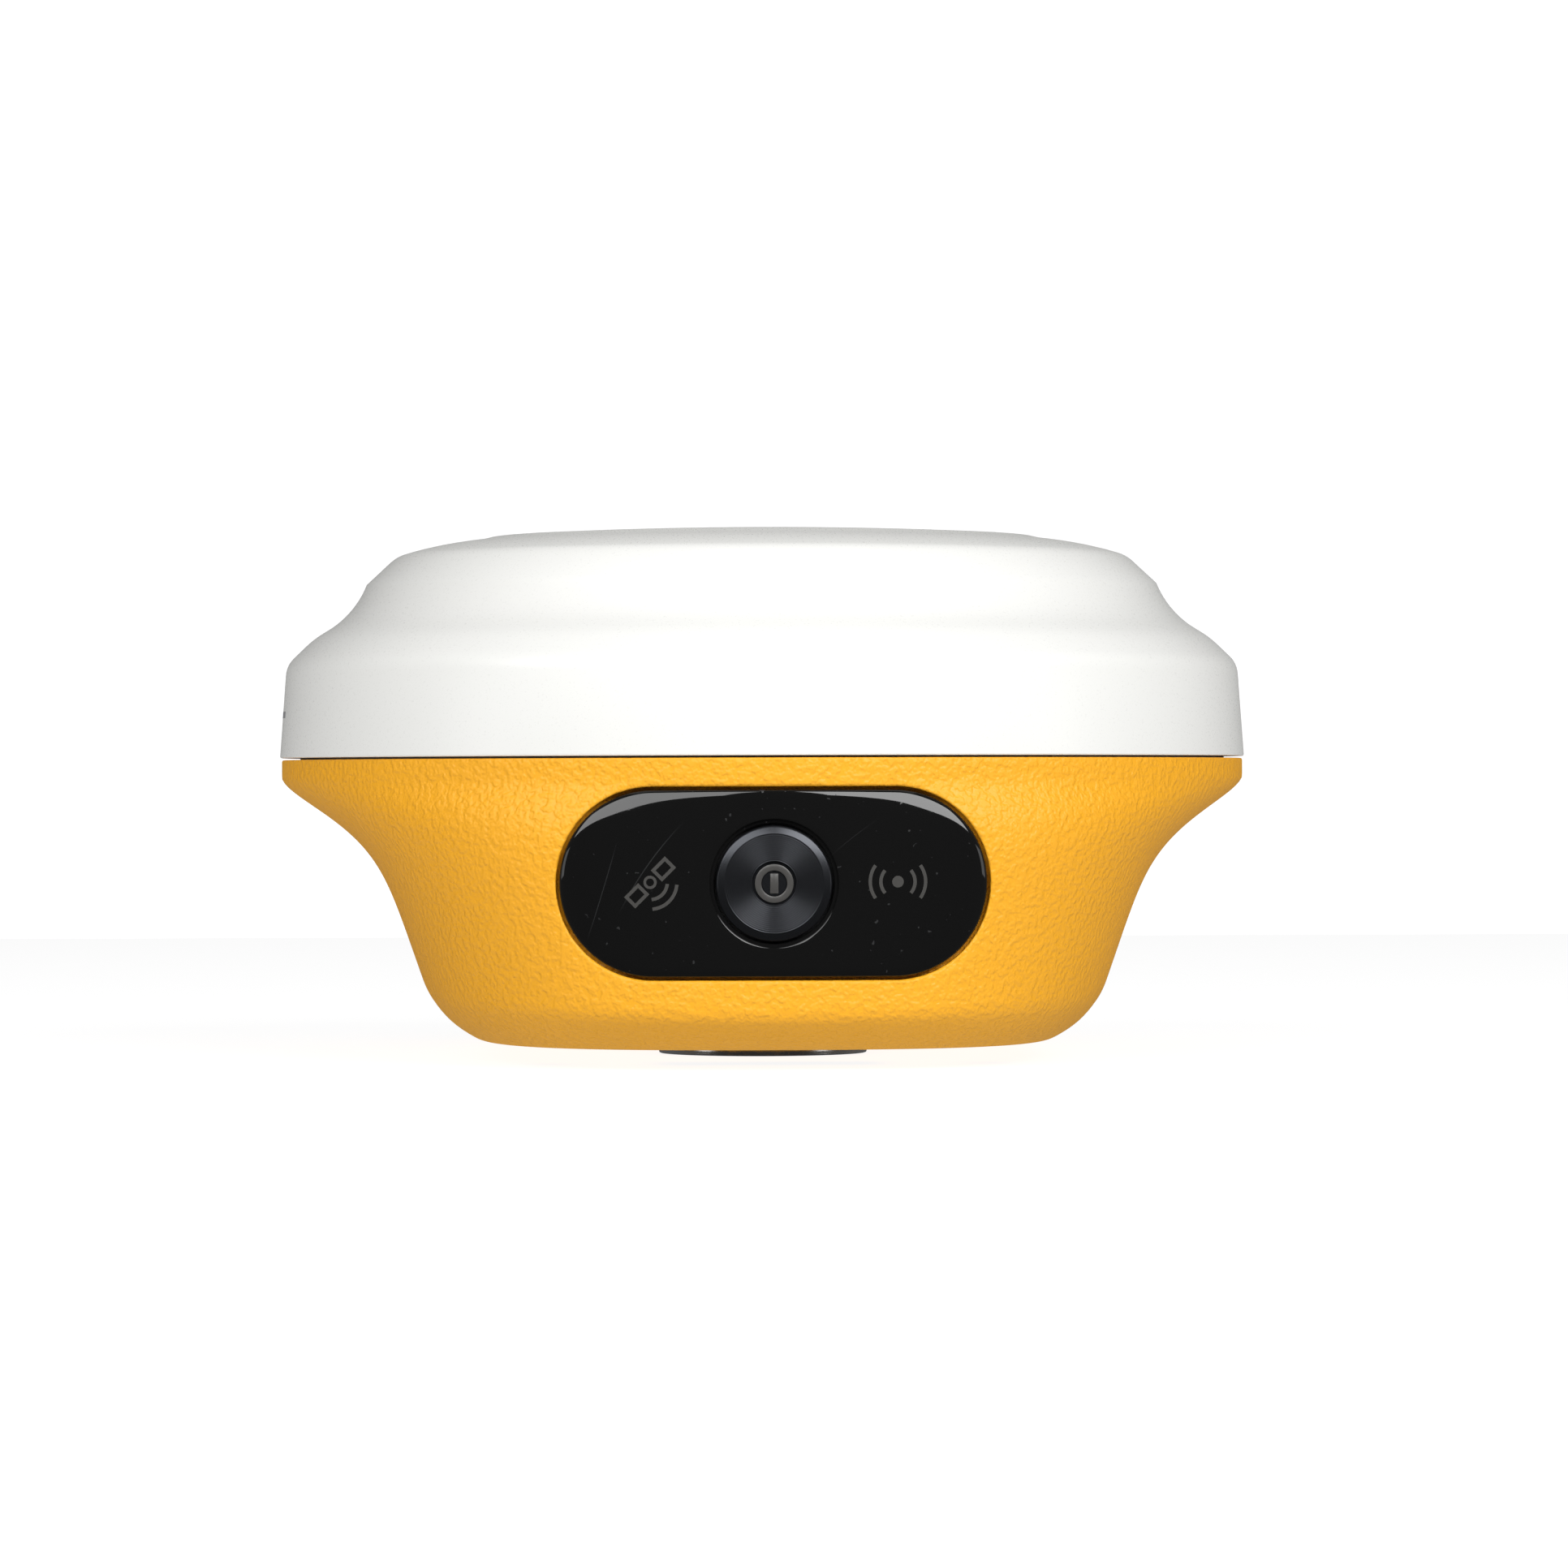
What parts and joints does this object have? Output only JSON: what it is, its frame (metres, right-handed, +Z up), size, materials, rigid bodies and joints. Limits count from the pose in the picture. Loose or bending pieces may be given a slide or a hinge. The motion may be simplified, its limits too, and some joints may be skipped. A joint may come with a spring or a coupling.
{
  "type": "pole-mount satellite positioning receiver",
  "caption": "Round pole-mount satellite receiver: white antenna dome, tapered orange housing, gloss panel with power button, steel pole thread and hinged port door.",
  "frame": {"origin": "centre of the pole thread's mouth, on the flat face of the steel pole seat", "axes": "+Z up along the pole axis; the button panel faces -Y; +X to the right as seen facing the panel"},
  "size_m": [0.15, 0.15, 0.0814],
  "materials": {
    "dome_white": "smooth satin moulded plastic",
    "housing_orange": "fine leather-textured moulded plastic",
    "mark_grey": "flat printed inlay",
    "seal_black": "soft black rubber",
    "panel_black": "high gloss black with faint scratches",
    "icon_grey": "unlit grey light window",
    "button_black": "black anodised, spun in rings",
    "seat_steel": "turned stainless steel",
    "screw_steel": "plain stainless steel",
    "brass": "turned brass",
    "board_green": "solder-masked circuit board",
    "board_blue": "solder-masked circuit board",
    "tin_plate": "tinned sheet steel",
    "patch_ceramic": "fired antenna ceramic with a silvered face",
    "nylon_white": "natural nylon",
    "inner_black": "black moulded plastic",
    "clear_pipe": "clear moulded plastic",
    "led_yellow": "resin lamp body",
    "plunger_brown": "brown moulded plastic",
    "flex_amber": "amber film with copper lines",
    "cell_blue": "shrink-sleeved cell",
    "lead_black": "black cable jacket",
    "lead_red": "red wire insulation",
    "door_black": "fine-grained black plastic",
    "plate_silver": "brushed blank rating plate"
  },
  "bodies": {
    "receiver": {"radome": "dome_white", "height_mark": "mark_grey", "radome_inserts": "brass", "main_gasket": "seal_black", "lower_housing": "housing_orange", "case_screws": "screw_steel", "screw_plugs": "seal_black", "hub_insert": "seat_steel", "hub_seal": "seal_black", "hub_screws": "screw_steel", "vent_plug": "inner_black", "type_plate": "plate_silver", "front_panel": "panel_black", "panel_gasket": "seal_black", "satellite_window": "icon_grey", "signal_window": "icon_grey", "button_guide": "inner_black", "switch_body": "inner_black", "key_board": "board_green", "indicator_leds": "led_yellow", "light_pipes": "clear_pipe", "key_board_screws": "screw_steel", "key_flex": "flex_amber", "main_board": "board_green", "board_standoffs": "brass", "gnss_board": "board_blue", "gnss_shield": "tin_plate", "gnss_spacers": "screw_steel", "gnss_screws": "screw_steel", "radio_module": "tin_plate", "modem_module": "tin_plate", "wlan_antenna": "nylon_white", "antenna_plate": "board_green", "antenna_screws": "screw_steel", "lower_patch": "patch_ceramic", "upper_patch": "patch_ceramic", "feed_pins": "brass", "patch_screw": "nylon_white", "amplifier_shield": "tin_plate", "antenna_lead": "lead_black", "lead_plugs": "brass", "battery_cells": "cell_blue", "battery_cradle": "inner_black", "battery_strap": "screw_steel", "strap_screws": "screw_steel", "battery_lead": "lead_red", "battery_plug": "nylon_white", "port_frame": "inner_black", "usb_shell": "tin_plate", "usb_tongue": "inner_black", "sim_socket": "tin_plate", "sim_card": "nylon_white", "door_pin": "screw_steel"},
    "button": {"power_button": "button_black", "button_icon": "icon_grey", "button_seal": "seal_black", "button_clip": "screw_steel", "switch_plunger": "plunger_brown"},
    "port_door": {"port_door": "door_black", "door_seal": "seal_black"}
  },
  "joints": [
    {"name": "power_button_press", "type": "slide", "parent": "receiver", "child": "button", "axis": [0, 1, 0], "range_m": [0, 0.0008], "stiffness_N_per_m": 3500, "springref_m": -0.0004},
    {"name": "port_door_hinge", "type": "hinge", "parent": "receiver", "child": "port_door", "pos_m": [0, 0.07219, 0.0223], "axis": [-1, 0, 0], "range_deg": [0, 90]}
  ]
}
